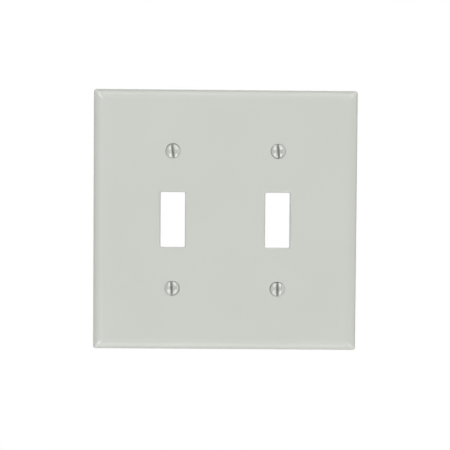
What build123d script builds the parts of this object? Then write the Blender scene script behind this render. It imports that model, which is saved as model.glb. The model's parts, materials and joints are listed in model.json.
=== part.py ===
from build123d import *
import math
import os

# Two-gang wall plate for toggle switches, with its four mounting screws.
# Frame: seen from the front, +X is right and +Z is up. The front faces -Y.
# The origin is the centre of the back plane, which lies against the wall at y = 0.
# All lengths are in millimetres.

INCH = 25.4

# Plate outline and section
PLATE_WIDTH = 115.9  # across both gangs, at the back plane
PLATE_HEIGHT = 114.3
PLATE_DEPTH = 5.6  # from the wall to the front face
WALL_DRAFT_DEG = 2.0  # lean of the side walls, for the mould
BORDER_WIDTH = 4.9  # curved border between the side wall and the flat face
BORDER_END_DEG = 40.0  # slope of the border where it meets the side wall
ROLL_RADIUS = 0.7  # rounding between the border and the side wall
CORNER_RADIUS = 1.3  # outer vertical corners
FACE_THICKNESS = 2.3
RIM_THICKNESS = 2.2
CAVITY_CORNER = 1.6
CAVITY_FILLET = 0.4  # inside corner between the face and the rim

# Standard device positions
GANG_PITCH = 1.8125 * INCH  # between the two switch centres
SCREW_PITCH = 2.375 * INCH  # between the two screws of one gang

# Toggle openings
OPENING_WIDTH = 10.8
OPENING_HEIGHT = 24.2
OPENING_CORNER = 0.5
OPENING_EDGE = 1.0  # rounding of the opening's front edge
COLLAR_THICKNESS = 1.7
STRAP_CLEARANCE = 1.6  # room behind the collars for the switch's metal strap

# Screw holes
CONE_DEG = 82.0  # included angle of a countersunk head
SINK_DIAMETER = 6.6  # countersink, at the front face
HOLE_DIAMETER = 4.2  # clearance hole for a 6-32 screw
BOSS_DIAMETER = 8.8
SINK_EDGE = 0.12  # rounding of the countersink's front edge

# Ribs and ejector marks on the back
RIB_THICKNESS = 1.2
RIB_ROW = 43.5  # height of the long ribs above and below the centre
MARK_DIAMETER = 4.0
MARK_DEPTH = 0.12
MARK_ROW = 36.0  # height of the ejector marks above and below the centre
MARK_COLUMN = 41.0
FLOOR_FILLET = 0.4  # root of the ribs, collars and bosses

# 6-32 UNC oval-head screw
SCREW_LENGTH = 0.5 * INCH  # from the head's rim to the tip
THREAD_PITCH = INCH / 32
MAJOR_RADIUS = 0.138 * INCH / 2
THREAD_DEPTH = 0.6134 * THREAD_PITCH
CREST_WIDTH = THREAD_PITCH / 8
CUTTER_OVERRUN = 0.05  # how far the thread's cutter stands outside the crests
CUTTER_LEAD_IN = 0.45  # the cutter starts this far up the neck, in the open
HEAD_RADIUS = 3.1
HEAD_LAND = 0.12  # short straight rim between the dome and the cone
DOME_HEIGHT = 1.1
NECK_RADIUS = 1.25
NECK_LENGTH = 1.5  # plain neck between the cone and the thread
TIP_CHAMFER = 0.55
SLOT_WIDTH = 1.05
SLOT_DEPTH = 1.45
HEAD_EDGE = 0.05  # rounding of the head's rim and of the slot's lips

# The screws aren't tightened. Each stands a little off its seat and off its hole's centre.
HEAD_LIFT = 0.32
# node: (side, row, shift in x, shift in z, slot's lean clockwise from upright, in degrees)
SCREWS = {
    "screw_upper_left": (-1, 1, 0.03, -0.12, -7.3),
    "screw_upper_right": (1, 1, 0.05, 0.14, -6.0),
    "screw_lower_left": (-1, -1, -0.19, 0.03, -2.2),
    "screw_lower_right": (1, -1, 0.16, -0.11, -0.2),
}

HALF_CONE_TAN = math.tan(math.radians(CONE_DEG / 2))
FLANK_TAN = math.tan(math.radians(30))
FACE_Y = -PLATE_DEPTH
INNER_Y = FACE_Y + FACE_THICKNESS
SEAT_Y = -STRAP_CLEARANCE
GANG_X = (-GANG_PITCH / 2, GANG_PITCH / 2)
SCREW_Z = (-SCREW_PITCH / 2, SCREW_PITCH / 2)
BORDER_RADIUS = BORDER_WIDTH / math.sin(math.radians(BORDER_END_DEG))
WALL_HEIGHT = PLATE_DEPTH - BORDER_RADIUS * (1 - math.cos(math.radians(BORDER_END_DEG)))


def block(x_size, y_from, y_to, z_size, x=0.0, z=0.0):
    """A box centred on (x, z) that runs from y_from to y_to."""
    return Pos(x, (y_from + y_to) / 2, z) * Box(x_size, abs(y_to - y_from), z_size)


def disc(radius, y_from, y_to, x, z):
    """A round bar along Y."""
    return Pos(x, (y_from + y_to) / 2, z) * Rot(X=90) * Cylinder(radius, abs(y_to - y_from))


def border_section(size, plane):
    """The plate's outer section, across the given size: wall, curved border, flat face."""
    top = size / 2 - WALL_HEIGHT * math.tan(math.radians(WALL_DRAFT_DEG))
    flat = top - BORDER_WIDTH
    halfway = math.radians(BORDER_END_DEG / 2)
    mid_x = flat + BORDER_RADIUS * math.sin(halfway)
    mid_y = FACE_Y + BORDER_RADIUS * (1 - math.cos(halfway))
    with BuildSketch(plane) as section:
        with BuildLine():
            Polyline((-top, -WALL_HEIGHT), (-size / 2, 0), (size / 2, 0), (top, -WALL_HEIGHT))
            ThreePointArc((top, -WALL_HEIGHT), (mid_x, mid_y), (flat, FACE_Y))
            Line((flat, FACE_Y), (-flat, FACE_Y))
            ThreePointArc((-flat, FACE_Y), (-mid_x, mid_y), (-top, -WALL_HEIGHT))
        make_face()
    return section.sketch


def outline_edges(body, y):
    """The edges on the plate's outline whose middles are near the given y."""
    found = []
    for edge in body.edges():
        middle = edge.center()
        reach = max(abs(middle.X) - PLATE_WIDTH / 2, abs(middle.Z) - PLATE_HEIGHT / 2)
        if reach > -1.0 and abs(middle.Y - y) < 0.6:
            found.append(edge)
    return found


def plate_body():
    """The solid outer shape. Two crossed sections make the border mitre in the corners."""
    sideways = Plane(origin=(0, 0, 0), x_dir=(0, 0, 1), z_dir=(-1, 0, 0))
    across = extrude(border_section(PLATE_WIDTH, Plane.XY), PLATE_HEIGHT, both=True)
    upright = extrude(border_section(PLATE_HEIGHT, sideways), PLATE_WIDTH, both=True)
    body = across & upright
    body = fillet(outline_edges(body, -WALL_HEIGHT / 2), CORNER_RADIUS)
    return fillet(outline_edges(body, -WALL_HEIGHT), ROLL_RADIUS)


def cavity():
    """The hollow behind the face, open at the back."""
    width = PLATE_WIDTH - 2 * RIM_THICKNESS
    height = PLATE_HEIGHT - 2 * RIM_THICKNESS
    space = block(width, INNER_Y, 1.0, height)
    space = fillet(space.edges().filter_by(Axis.Y), CAVITY_CORNER)
    floor = space.faces().sort_by(Axis.Y)[0]
    return fillet(floor.edges(), CAVITY_FILLET)


def ribs():
    """Stiffening ribs: two long rows, one middle row, and a column on and between the gangs."""
    width = PLATE_WIDTH - RIM_THICKNESS
    height = PLATE_HEIGHT - RIM_THICKNESS
    start = INNER_Y - 0.5
    lattice = [block(width, start, SEAT_Y, RIB_THICKNESS, z=z) for z in (-RIB_ROW, 0, RIB_ROW)]
    lattice += [block(RIB_THICKNESS, start, SEAT_Y, height, x=x) for x in (GANG_X[0], 0, GANG_X[1])]
    return lattice


def supports():
    """Collars around the toggle openings and bosses around the screw holes."""
    start = INNER_Y - 0.5
    pieces = []
    for x in GANG_X:
        width = OPENING_WIDTH + 2 * COLLAR_THICKNESS
        height = OPENING_HEIGHT + 2 * COLLAR_THICKNESS
        collar = block(width, start, SEAT_Y, height, x=x)
        pieces.append(fillet(collar.edges().filter_by(Axis.Y), OPENING_CORNER + COLLAR_THICKNESS))
        pieces += [disc(BOSS_DIAMETER / 2, start, SEAT_Y, x, z) for z in SCREW_Z]
    return pieces


def toggle_opening(x):
    """The cutter for one toggle opening."""
    cutter = block(OPENING_WIDTH, FACE_Y - 1, 1, OPENING_HEIGHT, x=x)
    return fillet(cutter.edges().filter_by(Axis.Y), OPENING_CORNER)


def screw_hole(x, z):
    """The cutter for one countersunk clearance hole."""
    sink_radius = SINK_DIAMETER / 2
    hole_radius = HOLE_DIAMETER / 2
    sink_depth = (sink_radius - hole_radius) / HALF_CONE_TAN
    with BuildSketch(Plane.XZ) as section:
        with BuildLine():
            Polyline(
                (0, -1),
                (sink_radius, -1),
                (sink_radius, 0),
                (hole_radius, sink_depth),
                (hole_radius, PLATE_DEPTH + 1),
                (0, PLATE_DEPTH + 1),
                (0, -1),
            )
        make_face()
    return Pos(x, FACE_Y, z) * Rot(X=-90) * revolve(section.sketch, Axis.Z)


def root_edges(plate):
    """The edges where ribs, collars and bosses stand on the inside of the face."""
    across = PLATE_WIDTH / 2 - RIM_THICKNESS - CAVITY_FILLET - 0.05
    upright = PLATE_HEIGHT / 2 - RIM_THICKNESS - CAVITY_FILLET - 0.05
    found = []
    for edge in plate.edges():
        middle = edge.center()
        on_floor = abs((edge @ 0).Y - INNER_Y) < 0.01 and abs((edge @ 1).Y - INNER_Y) < 0.01
        inside = abs(middle.X) < across and abs(middle.Z) < upright
        if on_floor and inside and not edge.is_closed:
            found.append(edge)
    return found


def on_front(edge):
    """Whether an edge lies on the front face, close to a gang's centre line."""
    middle = edge.center()
    near_gang = min(abs(middle.X - x) for x in GANG_X) < OPENING_WIDTH
    return near_gang and abs(middle.Y - FACE_Y) < 0.01


def opening_edges(plate):
    """The front edges of the toggle openings."""
    reach = OPENING_HEIGHT / 2 + 0.1
    return [edge for edge in plate.edges() if on_front(edge) and abs(edge.center().Z) < reach]


def sink_edges(plate):
    """The front edges of the countersinks."""
    lowest = SCREW_PITCH / 2 - SINK_DIAMETER
    return [edge for edge in plate.edges() if on_front(edge) and abs(edge.center().Z) > lowest]


def wall_plate():
    """The whole moulded plate."""
    plate = plate_body() - cavity()
    for piece in ribs() + supports():
        plate += piece
    for x in GANG_X:
        plate -= toggle_opening(x)
        for z in SCREW_Z:
            plate -= screw_hole(x, z)
    for x in (-MARK_COLUMN, MARK_COLUMN):
        for z in (-MARK_ROW, MARK_ROW):
            plate -= disc(MARK_DIAMETER / 2, INNER_Y - MARK_DEPTH, INNER_Y + 0.5, x, z)
    plate = fillet(root_edges(plate), FLOOR_FILLET)
    plate = fillet(opening_edges(plate), OPENING_EDGE)
    return fillet(sink_edges(plate), SINK_EDGE)


def screw_blank():
    """The unthreaded screw, along +Z from the head's rim at z = 0 to the tip."""
    cone = (HEAD_RADIUS - NECK_RADIUS) / HALF_CONE_TAN
    thread_start = HEAD_LAND + cone + NECK_LENGTH
    shoulder = MAJOR_RADIUS - NECK_RADIUS
    dome_radius = (HEAD_RADIUS**2 + DOME_HEIGHT**2) / (2 * DOME_HEIGHT)
    halfway = math.asin(HEAD_RADIUS / dome_radius) / 2
    mid_x = dome_radius * math.sin(halfway)
    mid_z = dome_radius * (1 - math.cos(halfway)) - DOME_HEIGHT
    with BuildSketch(Plane.XZ) as section:
        with BuildLine():
            ThreePointArc((0, -DOME_HEIGHT), (mid_x, mid_z), (HEAD_RADIUS, 0))
            Polyline(
                (HEAD_RADIUS, 0),
                (HEAD_RADIUS, HEAD_LAND),
                (NECK_RADIUS, HEAD_LAND + cone),
                (NECK_RADIUS, thread_start),
                (MAJOR_RADIUS, thread_start + shoulder),
                (MAJOR_RADIUS, SCREW_LENGTH - TIP_CHAMFER),
                (MAJOR_RADIUS - TIP_CHAMFER, SCREW_LENGTH),
                (0, SCREW_LENGTH),
                (0, -DOME_HEIGHT),
            )
        make_face()
    return revolve(section.sketch, Axis.Z), thread_start


def thread_groove(start):
    """The cutter for the helical V groove, from z = start beside the neck to beyond the tip."""
    root_radius = MAJOR_RADIUS - THREAD_DEPTH
    outer_half = (THREAD_PITCH - CREST_WIDTH) / 2 + CUTTER_OVERRUN * FLANK_TAN
    root_half = (THREAD_PITCH - CREST_WIDTH) / 2 - THREAD_DEPTH * FLANK_TAN
    outer = THREAD_DEPTH + CUTTER_OVERRUN
    height = SCREW_LENGTH + THREAD_PITCH - start
    path = Helix(THREAD_PITCH, height, root_radius, center=(0, 0, start))
    with BuildSketch(Plane(origin=path @ 0, x_dir=(1, 0, 0), z_dir=path % 0)) as section:
        Polygon((0, -root_half), (outer, -outer_half), (outer, outer_half), (0, root_half), align=None)
    return sweep(section.sketch, path=path, is_frenet=True)


def head_edges(slotted):
    """The edges around the two halves of the dome: the rim's arcs and the slot's lips."""
    found = []
    for edge in slotted.edges().filter_by(GeomType.CIRCLE):
        middle = edge.center()
        at_rim = abs(middle.Z) < 0.01
        at_lip = middle.Z < 0 and abs(abs(middle.X) - SLOT_WIDTH / 2) < 0.01
        if at_rim or at_lip:
            found.append(edge)
    return found


def screw(side, row, shift_x, shift_z, lean):
    """One threaded, slotted screw in its place in the plate."""
    blank, thread_start = screw_blank()
    solid = blank - thread_groove(thread_start - CUTTER_LEAD_IN)
    on_floor = (Align.CENTER, Align.CENTER, Align.MAX)
    slot = Box(SLOT_WIDTH, 4 * HEAD_RADIUS, 2 * SLOT_DEPTH, align=on_floor)
    solid -= Pos(0, 0, SLOT_DEPTH - DOME_HEIGHT) * slot
    solid = fillet(head_edges(solid), HEAD_EDGE)
    seated = FACE_Y + (SINK_DIAMETER / 2 - HEAD_RADIUS) / HALF_CONE_TAN - HEAD_LAND
    x = side * GANG_PITCH / 2 + shift_x
    z = row * SCREW_PITCH / 2 + shift_z
    return Pos(x, seated - HEAD_LIFT, z) * Rot(X=-90) * Rot(Z=lean) * solid


os.makedirs("parts", exist_ok=True)
export_step(wall_plate(), "parts/wall_plate.step")
for name, place in SCREWS.items():
    export_step(screw(*place), f"parts/{name}.step")
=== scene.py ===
import json
import math
from itertools import product

import bmesh
import bpy
from mathutils import Matrix, Vector
from mathutils.geometry import delaunay_2d_cdt


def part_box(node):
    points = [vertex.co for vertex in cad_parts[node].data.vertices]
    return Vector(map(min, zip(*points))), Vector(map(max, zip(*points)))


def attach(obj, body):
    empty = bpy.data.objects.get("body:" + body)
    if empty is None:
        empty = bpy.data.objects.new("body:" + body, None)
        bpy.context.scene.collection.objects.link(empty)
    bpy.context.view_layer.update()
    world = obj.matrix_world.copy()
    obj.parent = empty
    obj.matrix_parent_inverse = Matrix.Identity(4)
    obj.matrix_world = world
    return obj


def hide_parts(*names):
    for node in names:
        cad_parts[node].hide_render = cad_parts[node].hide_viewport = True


# A two-gang toggle wall plate with its four screws, in the frame of the CAD model: seen from
# the front, +X is right and +Z is up, and the front faces -Y. The plate's own sizes are in
# millimetres, with heights measured from the wall forwards. All other lengths are in metres.

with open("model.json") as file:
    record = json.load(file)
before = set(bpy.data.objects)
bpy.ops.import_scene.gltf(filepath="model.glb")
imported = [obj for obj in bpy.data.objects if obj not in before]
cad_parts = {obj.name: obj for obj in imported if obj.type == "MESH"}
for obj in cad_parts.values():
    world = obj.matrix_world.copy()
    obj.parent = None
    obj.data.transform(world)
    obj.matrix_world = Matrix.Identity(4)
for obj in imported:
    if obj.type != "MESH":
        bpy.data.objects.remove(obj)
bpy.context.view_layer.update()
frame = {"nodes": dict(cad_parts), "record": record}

MM = 0.001

# Sizes taken from the frame
plate_low, plate_high = (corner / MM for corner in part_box("wall_plate"))
mounts = {mount["name"]: mount for mount in frame["record"]["mounts"]}
HALF_X = plate_high.x
HALF_Z = plate_high.z
DEPTH = -plate_low.y
SCREW_X = mounts["device_screws"]["dims"]["spacing_x_mm"] / 2
SCREW_Z = mounts["device_screws"]["dims"]["spacing_y_mm"] / 2

# Outer section of the plate
DRAFT = math.radians(2)
BORDER_WIDTH = 4.9
BORDER_END = math.radians(40)  # slope where the curved border meets the side wall
ROLL_RADIUS = 0.7
CORNER_RADIUS = 1.3
MITRE_RADIUS = 1.1  # the corners of the border's inner side
BACK_EDGE = 0.2

# Openings and screw holes
OPENING_X = 5.4  # half the width
OPENING_Z = 12.1
OPENING_CORNER = 0.5
OPENING_EDGE = 1.0
HALF_CONE = math.radians(41)
SINK_RADIUS = 3.3
SINK_EDGE = 0.12
HOLE_RADIUS = 2.1

# The back
FACE_THICKNESS = 2.3
RIM_THICKNESS = 2.2
CAVITY_CORNER = 1.6
SEAT = 1.6  # height of the tops of the ribs, collars and bosses above the wall
COLLAR = 1.7
COLLAR_CORNER = OPENING_CORNER + COLLAR
BOSS_RADIUS = 4.4
HALF_RIB = 0.6
RIB_ROW = 43.5
ROOT_RADIUS = 0.4
RIB_EDGE = 0.12
RIM_EDGE = 0.2
MARK_X, MARK_Z = 41.0, 36.0  # ejector marks
MARK_RADIUS = 2.0
MARK_DEPTH = 0.12
CAVITY_X = HALF_X - RIM_THICKNESS
CAVITY_Z = HALF_Z - RIM_THICKNESS
POCKET_FLOOR = DEPTH - FACE_THICKNESS

# How finely curves are divided
CORNER_STEPS = 8
BORDER_STEPS = 24
EDGE_STEPS = 8
CIRCLE_STEPS = 96
RIM_STEPS = 4
RIB_STEPS = 2
SAME_PLACE = 1e-4  # points closer than this are one point
SAME_DIRECTION = 1e-4  # edges whose normals turn less than this are one straight line
FILL_TOLERANCE = 1e-6
ON_WALL = 0.02  # how near the cavity's wall a point has to be to lie on it

OUTSIDE, INSIDE = 0, 1  # the plate's two material slots
STRONG, WEAK = 16384, -16384  # face weights of Blender's Weighted Normal modifier
SHARP = math.radians(35)

# Camera and light
CAMERA_PLACE = (-0.0029, -0.470, 0.0126)
CAMERA_YAW, CAMERA_PITCH, CAMERA_ROLL = (math.radians(a) for a in (-0.355, -1.82, -0.433))
LENS = 84.85  # millimetres, on a 36 mm sensor
LIGHT_DISTANCE = 0.55
# name: (azimuth to the right and elevation in degrees, width, height, radiance)
SOFTBOXES = {
    "above": (0, 57, 0.90, 0.24, 2.3),
    "above_low": (0, 33, 0.90, 0.24, 0.6),
    "below": (0, -57, 0.90, 0.24, 1.85),
    "below_low": (0, -33, 0.90, 0.24, 0.5),
    "left": (-31, 0, 0.24, 0.70, 0.8),
    "far_left": (-57, 0, 0.24, 0.70, 0.55),
    "right": (64, 0, 0.15, 0.70, 1.6),
    "upper_left": (-33, 28, 0.18, 0.18, 3.3),
    "upper_right": (38, 31, 0.18, 0.18, 3.8),
    "lower_left": (-38, -31, 0.18, 0.18, 3.6),
    "lower_right": (40, -32, 0.18, 0.18, 4.0),
    "back": (150, 40, 0.50, 0.50, 2.2),
}
# How strongly the white background lights the plate from in front and from behind, and the
# part of the direction's Y over which one changes to the other
BACKGROUND_FRONT, BACKGROUND_BEHIND = 0.05, 0.6
BACKGROUND_CHANGE = (0.15, 0.7)
FLOOR_DROP = 0.62
FLOOR_RADIUS = 0.9
FLOOR_FADE = (0.4, 0.98)  # shares of the radius between which the floor fades out


# ---------------------------------------------------------------- outlines, as lists of (x, z)


def rounded_box(half_x, half_z, radius, steps=CORNER_STEPS, x=0.0):
    """A rectangle with round corners, anticlockwise from the right side."""
    points = []
    for quarter, (side, row) in enumerate(((1, 1), (-1, 1), (-1, -1), (1, -1))):
        for step in range(steps + 1):
            angle = math.pi / 2 * (quarter + step / steps)
            across = side * (half_x - radius) + radius * math.cos(angle)
            upright = row * (half_z - radius) + radius * math.sin(angle)
            points.append(Vector((x + across, upright)))
    return points


def arc(centre, radius, start, end, steps):
    """Points along an arc, angles in degrees, both ends included."""
    points = []
    for step in range(steps + 1):
        angle = math.radians(start + (end - start) * step / steps)
        across, upright = radius * math.cos(angle), radius * math.sin(angle)
        points.append(Vector((centre[0] + across, centre[1] + upright)))
    return points


def circle(radius, x, z, steps=CIRCLE_STEPS):
    """A full circle, anticlockwise."""
    return arc((x, z), radius, 0, 360, steps)[:-1]


def quarter_round(radius, steps):
    """Steps round a quarter circle, as distances from its first side and from its second."""
    for step in range(steps + 1):
        angle = math.pi / 2 * step / steps
        yield radius * (1 - math.cos(angle)), radius * (1 - math.sin(angle))


def outward(start, end):
    """The outward normal of an anticlockwise outline's edge."""
    along = (end - start).normalized()
    return Vector((along.y, -along.x))


def offset(points, distances):
    """The outline with each edge moved outwards by its own distance. Edge i follows point i."""
    moved = []
    for i, here in enumerate(points):
        before = outward(points[i - 1], here)
        after = outward(here, points[(i + 1) % len(points)])
        first, second = distances[i - 1], distances[i]
        turn = before.x * after.y - before.y * after.x
        if abs(turn) < SAME_DIRECTION:
            moved.append(here + before * (first + second) / 2)
        else:
            across = (first * after.y - second * before.y) / turn
            upright = (before.x * second - after.x * first) / turn
            moved.append(here + Vector((across, upright)))
    return moved


def contains(ring, point):
    """Whether a point lies inside a closed ring of points."""
    inside = False
    for here, there in zip(ring, ring[1:] + ring[:1]):
        if (here.y > point.y) != (there.y > point.y):
            crossing = here.x + (there.x - here.x) * (point.y - here.y) / (there.y - here.y)
            inside ^= point.x < crossing
    return inside


# ---------------------------------------------------------------- the plate's mesh


class Shell:
    """A mesh made of closed loops of vertices, bridged to each other or filled flat."""

    def __init__(self):
        self.mesh = bmesh.new()
        self.weight = self.mesh.faces.layers.int.new("__mod_weightednormals_faceweight")

    def loop(self, points, height):
        return [self.mesh.verts.new((p.x, -height, p.y)) for p in points]

    def face(self, corners, material, weight):
        made = self.mesh.faces.new(corners)
        made.material_index = material
        made[self.weight] = weight
        made.smooth = True

    def bridge(self, loops, material):
        """Joins each loop to the next one."""
        for low, high in zip(loops, loops[1:]):
            for i in range(len(low)):
                self.face((low[i - 1], low[i], high[i], high[i - 1]), material, WEAK)

    def fill(self, rings, material):
        """Covers the flat area that lies inside an odd number of the rings."""
        corners = [corner for ring in rings for corner in ring]
        flat = [[Vector((v.co.x, v.co.z)) for v in ring] for ring in rings]
        edges = []
        for ring in rings:
            first = len(edges)
            edges += [(first + i, first + (i + 1) % len(ring)) for i in range(len(ring))]
        points = [point for ring in flat for point in ring]
        filled = delaunay_2d_cdt(points, edges, [], 0, FILL_TOLERANCE)
        made, _, triangles, origins = filled[:4]
        for triangle in triangles:
            middle = sum((made[i] for i in triangle), Vector((0, 0))) / len(triangle)
            if sum(contains(ring, middle) for ring in flat) % 2:
                self.face([corners[origins[i][0]] for i in triangle], material, STRONG)

    def finish(self, name):
        """The finished object, in metres."""
        bmesh.ops.remove_doubles(self.mesh, verts=self.mesh.verts, dist=SAME_PLACE)
        bmesh.ops.recalc_face_normals(self.mesh, faces=self.mesh.faces)
        for edge in self.mesh.edges:
            edge.smooth = edge.calc_face_angle(0) < SHARP
        self.mesh.transform(Matrix.Scale(MM, 4))
        data = bpy.data.meshes.new(name)
        self.mesh.to_mesh(data)
        self.mesh.free()
        made = bpy.data.objects.new(name, data)
        bpy.context.scene.collection.objects.link(made)
        normals = made.modifiers.new("flat faces stay flat", "WEIGHTED_NORMAL")
        normals.keep_sharp = True
        normals.use_face_influence = True
        return made


def border_loops(shell):
    """The outer side, from the back rim up the wall and over the curved border."""
    bulge = BORDER_WIDTH / math.sin(BORDER_END)
    lean = math.tan(DRAFT)
    wall_top = DEPTH - bulge * (1 - math.cos(BORDER_END))
    flat = wall_top * lean + BORDER_WIDTH
    centre = DEPTH - bulge
    # The roll's centre is ROLL_RADIUS inside the leaning wall and inside the border's circle.
    reach = flat - ROLL_RADIUS / math.cos(DRAFT)
    half = reach * lean + centre
    square = (1 + lean**2) * (reach**2 + centre**2 - (bulge - ROLL_RADIUS) ** 2)
    roll_height = (half + math.sqrt(half**2 - square)) / (1 + lean**2)
    roll_inset = roll_height * lean + ROLL_RADIUS / math.cos(DRAFT)
    join = math.atan2(roll_height - centre, flat - roll_inset)
    back_inset = BACK_EDGE * (lean + 1 / math.cos(DRAFT))
    arcs = (
        (back_inset, BACK_EDGE, BACK_EDGE, -math.pi / 2, DRAFT, EDGE_STEPS),
        (roll_inset, roll_height, ROLL_RADIUS, DRAFT, join, EDGE_STEPS),
        (flat, centre, bulge, join, math.pi / 2, BORDER_STEPS),
    )
    loops = []
    for inset, height, radius, start, end, steps in arcs:
        for step in range(steps + 1):
            angle = start + (end - start) * step / steps
            if radius == bulge and step == 0:
                continue  # the roll ends where the border starts
            level = height + radius * math.sin(angle)
            loops.append(border_loop(shell, inset - radius * math.cos(angle), level))
    return loops


def border_loop(shell, inset, height):
    """One level of the outer side, with a corner that gets tighter inwards."""
    fade = CORNER_RADIUS - MITRE_RADIUS
    corner = MITRE_RADIUS + fade * math.exp(-inset / fade)
    return shell.loop(rounded_box(HALF_X - inset, HALF_Z - inset, corner), height)


def opening_loops(shell, x):
    """One toggle opening, from its rounded front edge to the back of its collar."""
    levels = [(grow, DEPTH - deep) for deep, grow in quarter_round(OPENING_EDGE, EDGE_STEPS)]
    levels += [(grow, SEAT + rise) for grow, rise in quarter_round(RIB_EDGE, RIB_STEPS)]
    loops = []
    for grow, height in levels:
        outline = rounded_box(OPENING_X + grow, OPENING_Z + grow, OPENING_CORNER + grow, x=x)
        loops.append(shell.loop(outline, height))
    return loops


def hole_loops(shell, x, z):
    """One countersunk screw hole, from its front edge to the back of its boss."""
    tangent = SINK_EDGE * math.tan((math.pi / 2 - HALF_CONE) / 2)
    levels = []
    for step in range(EDGE_STEPS + 1):
        angle = (math.pi / 2 - HALF_CONE) * step / EDGE_STEPS
        radius = SINK_RADIUS + tangent - SINK_EDGE * math.sin(angle)
        levels.append((radius, DEPTH - SINK_EDGE * (1 - math.cos(angle))))
    levels.append((HOLE_RADIUS, DEPTH - (SINK_RADIUS - HOLE_RADIUS) / math.tan(HALF_CONE)))
    for grow, rise in quarter_round(RIB_EDGE, RIB_STEPS):
        levels.append((HOLE_RADIUS + grow, SEAT + rise))
    return [shell.loop(circle(radius, x, z), height) for radius, height in levels]


def pocket_outline(far, low, high, beside_gang, round_corner):
    """The outline of a pocket between ribs, right of a gang's centre line.

    Points are (distance from the gang's centre line, height on the plate). far is the other side.
    Pockets beside a gang go round its boss and its collar.
    """
    if round_corner:
        centre = (far - CAVITY_CORNER, high - CAVITY_CORNER)
        points = [Vector((far, low))] + arc(centre, CAVITY_CORNER, 0, 90, CORNER_STEPS)
    else:
        points = [Vector((far, low)), Vector((far, high))]
    points.append(Vector((HALF_RIB, high)))
    if beside_gang:
        start = math.degrees(math.acos(HALF_RIB / BOSS_RADIUS))
        points += arc((0, SCREW_Z), BOSS_RADIUS, start, -start, 3 * CORNER_STEPS)
        side, top = OPENING_X + COLLAR, OPENING_Z + COLLAR
        points.append(Vector((HALF_RIB, top)))
        centre = (side - COLLAR_CORNER, top - COLLAR_CORNER)
        points += arc(centre, COLLAR_CORNER, 90, 0, CORNER_STEPS)
        points.append(Vector((side, low)))
    else:
        points.append(Vector((HALF_RIB, low)))
    return points


def pocket_loops(shell, points, on_wall):
    """One pocket: rounded rib tops, upright walls, rounded roots, floor."""
    shares = [0.0 if wall else 1.0 for wall in on_wall]
    loops = []
    for rise, grow in quarter_round(RIB_EDGE, RIB_STEPS):
        outline = offset(points, [grow * share for share in shares])
        loops.append(shell.loop(outline, SEAT + rise))
    for shrink, short in quarter_round(ROOT_RADIUS, EDGE_STEPS):
        outline = offset(points, [-shrink] * len(points))
        loops.append(shell.loop(outline, POCKET_FLOOR - short))
    return loops


def pockets(shell):
    """The sixteen pockets behind the face. Returns their top loops and the cavity's outline."""
    outer = CAVITY_X - SCREW_X
    inner = SCREW_X - HALF_RIB
    columns = ((outer, 1), (inner, -1))
    bands = (HALF_RIB, RIB_ROW - HALF_RIB, True), (RIB_ROW + HALF_RIB, CAVITY_Z, False)
    tops, wall_points = [], []
    for side, row, column, band in product((-1, 1), (-1, 1), columns, bands):
        (far, away), (low, high, beside_gang) = column, band
        corner = far == outer and not beside_gang
        local = pocket_outline(far, low, high, beside_gang, corner)
        points = [Vector((side * (SCREW_X + away * p.x), row * p.y)) for p in local]
        if side * away * row < 0:
            points.reverse()
        middles = [(here + there) / 2 for here, there in zip(points, points[1:] + points[:1])]
        loops = pocket_loops(shell, points, [on_cavity_wall(middle) for middle in middles])
        shell.bridge(loops, INSIDE)
        floor_rings = [loops[-1]]
        if far == outer and beside_gang:
            floor_rings.append(ejector_mark(shell, side * MARK_X, row * MARK_Z))
        shell.fill(floor_rings, INSIDE)
        tops.append(loops[0])
        wall_points += [v for v in loops[0] if on_cavity_wall(Vector((v.co.x, v.co.z)))]
    wall_points.sort(key=lambda v: math.atan2(v.co.z, v.co.x))
    return tops, [Vector((v.co.x, v.co.z)) for v in wall_points]


def on_cavity_wall(point):
    """Whether a point lies on the outline of the cavity, rounded corners included."""
    inner_x, inner_z = CAVITY_X - CAVITY_CORNER, CAVITY_Z - CAVITY_CORNER
    past_x, past_z = abs(point.x) - inner_x, abs(point.y) - inner_z
    if past_x > 0 and past_z > 0:
        return math.hypot(past_x, past_z) > CAVITY_CORNER - ON_WALL
    return max(past_x, past_z) > CAVITY_CORNER - ON_WALL


def ejector_mark(shell, x, z):
    """The shallow round mark that an ejector pin leaves. Returns its rim."""
    rim = shell.loop(circle(MARK_RADIUS, x, z), POCKET_FLOOR)
    base = shell.loop(circle(MARK_RADIUS, x, z), POCKET_FLOOR + MARK_DEPTH)
    shell.bridge([rim, base], INSIDE)
    shell.fill([base], INSIDE)
    return rim


def plate():
    """The whole moulded plate as one closed mesh."""
    shell = Shell()
    border = border_loops(shell)
    shell.bridge(border, OUTSIDE)
    through = [opening_loops(shell, side * SCREW_X) for side in (-1, 1)]
    for side, row in product((-1, 1), (-1, 1)):
        through.append(hole_loops(shell, side * SCREW_X, row * SCREW_Z))
    for loops in through:
        shell.bridge(loops, OUTSIDE)
    shell.fill([border[-1]] + [loops[0] for loops in through], OUTSIDE)
    tops, cavity = pockets(shell)
    rim = [shell.loop(cavity, SEAT)]
    for grow, height in quarter_round(RIM_EDGE, RIM_STEPS):
        rim.append(shell.loop(offset(cavity, [grow] * len(cavity)), height))
    shell.bridge(rim, INSIDE)
    shell.fill([rim[0]] + tops + [loops[-1] for loops in through], INSIDE)
    shell.fill([border[0], rim[-1]], INSIDE)
    return shell.finish("moulded_wall_plate")


# ---------------------------------------------------------------- materials


RAMP_ENDS = ("From Min", "From Max", "To Min", "To Max")
USUAL = (0.3, 0.7)  # noise is mostly between these values


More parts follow.
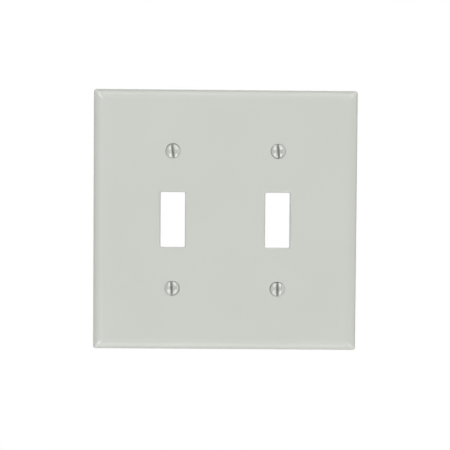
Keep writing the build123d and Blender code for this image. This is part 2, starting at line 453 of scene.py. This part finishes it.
class Material:
    """A node material with one Principled shader, and short ways to add nodes to it."""

    def __init__(self, name):
        self.material = bpy.data.materials.new(name)
        self.material.use_nodes = True
        self.tree = self.material.node_tree
        self.shader = self.tree.nodes["Principled BSDF"]
        self.place = self.add("ShaderNodeTexCoord").outputs["Object"]

    def add(self, kind, **settings):
        node = self.tree.nodes.new(kind)
        for name, value in settings.items():
            setattr(node, name, value)
        return node

    def connect(self, source, target):
        self.tree.links.new(source, target)

    def noise(self, size, detail=2.0, roughness=0.5):
        """Noise whose features are about size metres across."""
        node = self.add("ShaderNodeTexNoise")
        node.inputs["Scale"].default_value = 1 / size
        node.inputs["Detail"].default_value = detail
        node.inputs["Roughness"].default_value = roughness
        self.connect(self.place, node.inputs["Vector"])
        return node.outputs["Fac"]

    def ramp(self, value, low, high, to_low, to_high, smooth=False):
        """Maps value from low..high to to_low..to_high."""
        node = self.add("ShaderNodeMapRange")
        node.interpolation_type = "SMOOTHSTEP" if smooth else "LINEAR"
        self.connect(value, node.inputs["Value"])
        for name, number in zip(RAMP_ENDS, (low, high, to_low, to_high)):
            node.inputs[name].default_value = number
        return node.outputs["Result"]

    def blend(self, share, first, second):
        """A colour between two, each a colour or another node's output."""
        node = self.add("ShaderNodeMix", data_type="RGBA")
        self.connect(share, node.inputs["Factor"])
        for socket, colour in ((node.inputs[6], first), (node.inputs[7], second)):
            if isinstance(colour, bpy.types.NodeSocket):
                self.connect(colour, socket)
            else:
                socket.default_value = (*colour, 1)
        return node.outputs[2]

    def mix(self, share, first, second):
        """A value between two others."""
        node = self.add("ShaderNodeMix", data_type="FLOAT")
        for place, value in ((0, share), (2, first), (3, second)):
            self.connect(value, node.inputs[place])
        return node.outputs[0]

    def mathematics(self, operation, first, second):
        node = self.add("ShaderNodeMath", operation=operation)
        for socket, value in zip(node.inputs, (first, second)):
            if isinstance(value, bpy.types.NodeSocket):
                self.connect(value, socket)
            else:
                socket.default_value = value
        return node.outputs[0]

    def bump(self, height, depth, strength=1.0, under=None):
        """Bumps of the given depth in metres, on top of other bumps."""
        node = self.add("ShaderNodeBump")
        node.inputs["Distance"].default_value = depth
        node.inputs["Strength"].default_value = strength
        self.connect(height, node.inputs["Height"])
        if under is not None:
            self.connect(under, node.inputs["Normal"])
        return node.outputs["Normal"]


# Colours of the plastic, and the sizes of its cloudy patches, flecks, dull patches and flow marks
PLASTIC_LIGHT = (0.569, 0.587, 0.545)
PLASTIC_DARK = (0.551, 0.570, 0.527)
CLOUD_SIZE, CLOUD_SHARE = 0.030, 0.75
FLECK_SIZE, FLECK_SHARE = 0.0004, 0.25
DULL_SIZE = 0.006
FLOW_SIZE, FLOW_DEPTH = 0.012, 0.00002


def moulded_plastic(name, gloss, grain_size, grain_depth):
    """Light grey moulded plastic. gloss is the lowest and highest roughness."""
    made = Material(name)
    clouds = made.ramp(made.noise(CLOUD_SIZE, 3), *USUAL, 0, CLOUD_SHARE)
    flecks = made.ramp(made.noise(FLECK_SIZE, 2), 0.35, 0.65, 0, FLECK_SHARE)
    colour = made.blend(made.mathematics("ADD", clouds, flecks), PLASTIC_DARK, PLASTIC_LIGHT)
    made.connect(colour, made.shader.inputs["Base Color"])
    dull = made.ramp(made.noise(DULL_SIZE, 4), *USUAL, *gloss)
    made.connect(dull, made.shader.inputs["Roughness"])
    flow = made.bump(made.noise(FLOW_SIZE, 1), FLOW_DEPTH)
    grain = made.bump(made.noise(grain_size, 3), grain_depth, under=flow)
    made.connect(grain, made.shader.inputs["Normal"])
    return made.material


ENAMEL_LIGHT = (0.503, 0.521, 0.477)
ENAMEL_DARK = (0.464, 0.481, 0.438)
# painted shade: the darkened enamel colour given deep in the slot and at the head's rim edge
SLOT_PAINTED_SHADE = (0.40, 0.415, 0.38)
ZINC = (0.52, 0.53, 0.54)
# Lowest and highest roughness
CLEAR_COAT_GLOSS = (0.08, 0.18)
ENAMEL_GLOSS = (0.30, 0.42)
ZINC_GLOSS = (0.28, 0.46)
# Depths along Y: deep in the slot the enamel loses its clear coat and is darkened as painted shade,
# and the enamel ends below the head's rim
PAINTED_SHADE_DEPTH = (-0.00574, -0.00558)
ENAMEL_END = (-0.00545, -0.00515)
RAGGED_SIZE, RAGGED_DEPTH = 0.0006, 0.00008
WAVE_SIZE, WAVE_DEPTH = 0.0011, 0.000040
PORE_SIZE, PORE_DEPTH = 0.00015, 0.000003


def painted_screw():
    """Zinc-plated steel, with enamel sprayed on the head from the front."""
    made = Material("enamelled_screw")
    split = made.add("ShaderNodeSeparateXYZ")
    made.connect(made.place, split.inputs[0])
    ragged = made.ramp(made.noise(RAGGED_SIZE, 3), 0, 1, -RAGGED_DEPTH, RAGGED_DEPTH)
    depth = made.mathematics("ADD", split.outputs["Y"], ragged)
    # deep: share of painted shade and of lost clear coat, rising towards the back of the slot
    deep = made.ramp(depth, *PAINTED_SHADE_DEPTH, 0, 1, smooth=True)
    bare = made.ramp(depth, *ENAMEL_END, 0, 1, smooth=True)
    coat = made.mathematics("SUBTRACT", 1.0, deep)
    enamel = made.blend(made.noise(0.002, 2), ENAMEL_DARK, ENAMEL_LIGHT)
    # the enamel turns to painted shade deep in the slot, and to zinc below the head
    colour = made.blend(bare, made.blend(deep, enamel, SLOT_PAINTED_SHADE), ZINC)
    made.connect(colour, made.shader.inputs["Base Color"])
    made.connect(bare, made.shader.inputs["Metallic"])
    made.connect(coat, made.shader.inputs["Coat Weight"])
    made.shader.inputs["Coat IOR"].default_value = 1.8
    clear = made.ramp(made.noise(0.0010, 3), *USUAL, *CLEAR_COAT_GLOSS)
    made.connect(clear, made.shader.inputs["Coat Roughness"])
    painted = made.ramp(made.noise(0.0012, 3), *USUAL, *ENAMEL_GLOSS)
    plated = made.ramp(made.noise(0.0004, 4), *USUAL, *ZINC_GLOSS)
    made.connect(made.mix(bare, painted, plated), made.shader.inputs["Roughness"])
    wavy = made.bump(made.noise(WAVE_SIZE, 2), WAVE_DEPTH)
    pores = made.bump(made.noise(PORE_SIZE, 2), PORE_DEPTH, under=wavy)
    made.connect(pores, made.shader.inputs["Normal"])
    return made.material


# ---------------------------------------------------------------- camera, light and floor


def camera():
    """The camera stands almost straight in front of the plate."""
    turn = Matrix.Rotation(CAMERA_YAW, 3, "Z") @ Matrix.Rotation(CAMERA_PITCH, 3, "X")
    turn = turn @ Matrix.Rotation(CAMERA_ROLL, 3, "Y")
    right, forward, up = turn.col
    axes = Matrix((right, up, -forward)).transposed().to_4x4()
    data = bpy.data.cameras.new("camera")
    data.sensor_width = 36
    data.lens = LENS
    data.clip_start = 0.01
    placed = bpy.data.objects.new("camera", data)
    placed.matrix_world = Matrix.Translation(CAMERA_PLACE) @ axes
    bpy.context.scene.collection.objects.link(placed)
    bpy.context.scene.camera = placed


def softbox(name, azimuth, elevation, width, height, radiance):
    """A rectangular light aimed at the plate, at that azimuth to the right and that elevation."""
    across, up = math.radians(azimuth), math.radians(elevation)
    away = Vector((math.sin(across) * math.cos(up), -math.cos(across) * math.cos(up), math.sin(up)))
    data = bpy.data.lights.new(name, "AREA")
    data.shape = "RECTANGLE"
    data.size, data.size_y = width, height
    data.energy = math.pi * width * height * radiance
    placed = bpy.data.objects.new(name, data)
    placed.location = away * LIGHT_DISTANCE
    placed.rotation_euler = away.to_track_quat("Z", "Y").to_euler()
    placed.visible_camera = False
    bpy.context.scene.collection.objects.link(placed)


def studio():
    """A white background, which the camera sees brighter than it lights the plate."""
    world = bpy.data.worlds.new("studio")
    world.use_nodes = True
    tree = world.node_tree
    tree.nodes.clear()
    seen = tree.nodes.new("ShaderNodeBackground")
    lighting = tree.nodes.new("ShaderNodeBackground")
    for background in (seen, lighting):
        background.inputs["Color"].default_value = (1, 1, 1, 1)
    direction = tree.nodes.new("ShaderNodeTexCoord")
    split = tree.nodes.new("ShaderNodeSeparateXYZ")
    strength = tree.nodes.new("ShaderNodeMapRange")
    strength.interpolation_type = "SMOOTHSTEP"
    ends = (*BACKGROUND_CHANGE, BACKGROUND_FRONT, BACKGROUND_BEHIND)
    for name, number in zip(RAMP_ENDS, ends):
        strength.inputs[name].default_value = number
    path = tree.nodes.new("ShaderNodeLightPath")
    mix = tree.nodes.new("ShaderNodeMixShader")
    output = tree.nodes.new("ShaderNodeOutputWorld")
    tree.links.new(direction.outputs["Generated"], split.inputs[0])
    tree.links.new(split.outputs["Y"], strength.inputs["Value"])
    tree.links.new(strength.outputs["Result"], lighting.inputs["Strength"])
    tree.links.new(path.outputs["Is Camera Ray"], mix.inputs[0])
    tree.links.new(lighting.outputs[0], mix.inputs[1])
    tree.links.new(seen.outputs[0], mix.inputs[2])
    tree.links.new(mix.outputs[0], output.inputs[0])
    bpy.context.scene.world = world
    bpy.context.scene.view_settings.view_transform = "Standard"


def floor():
    """A plain pale floor that fades out towards its edge."""
    mesh = bmesh.new()
    bmesh.ops.create_circle(mesh, cap_ends=True, segments=128, radius=FLOOR_RADIUS)
    data = bpy.data.meshes.new("floor")
    mesh.to_mesh(data)
    mesh.free()
    made = bpy.data.objects.new("floor", data)
    made.location.z = -FLOOR_DROP
    bpy.context.scene.collection.objects.link(made)
    look = Material("pale_floor")
    distance = look.add("ShaderNodeVectorMath", operation="LENGTH")
    look.connect(look.place, distance.inputs[0])
    fade = (share * FLOOR_RADIUS for share in FLOOR_FADE)
    alpha = look.ramp(distance.outputs["Value"], *fade, 1, 0, smooth=True)
    look.connect(alpha, look.shader.inputs["Alpha"])
    look.shader.inputs["Base Color"].default_value = (0.86, 0.86, 0.86, 1)
    look.shader.inputs["Roughness"].default_value = 0.8
    data.materials.append(look.material)


# ---------------------------------------------------------------- the scene

wall_plate = plate()
for finish in (
    moulded_plastic("moulded_plastic_face", (0.13, 0.20), grain_size=0.0009, grain_depth=0.000004),
    moulded_plastic("moulded_plastic_back", (0.45, 0.60), grain_size=0.00035, grain_depth=0.000020),
):
    wall_plate.data.materials.append(finish)
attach(wall_plate, "plate")
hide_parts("wall_plate")

enamel = painted_screw()
for name, node in frame["nodes"].items():
    if name.startswith("screw"):
        node.material_slots[0].link = "OBJECT"
        node.material_slots[0].material = enamel

camera()
studio()
for light, place in SOFTBOXES.items():
    softbox(light, *place)
floor()
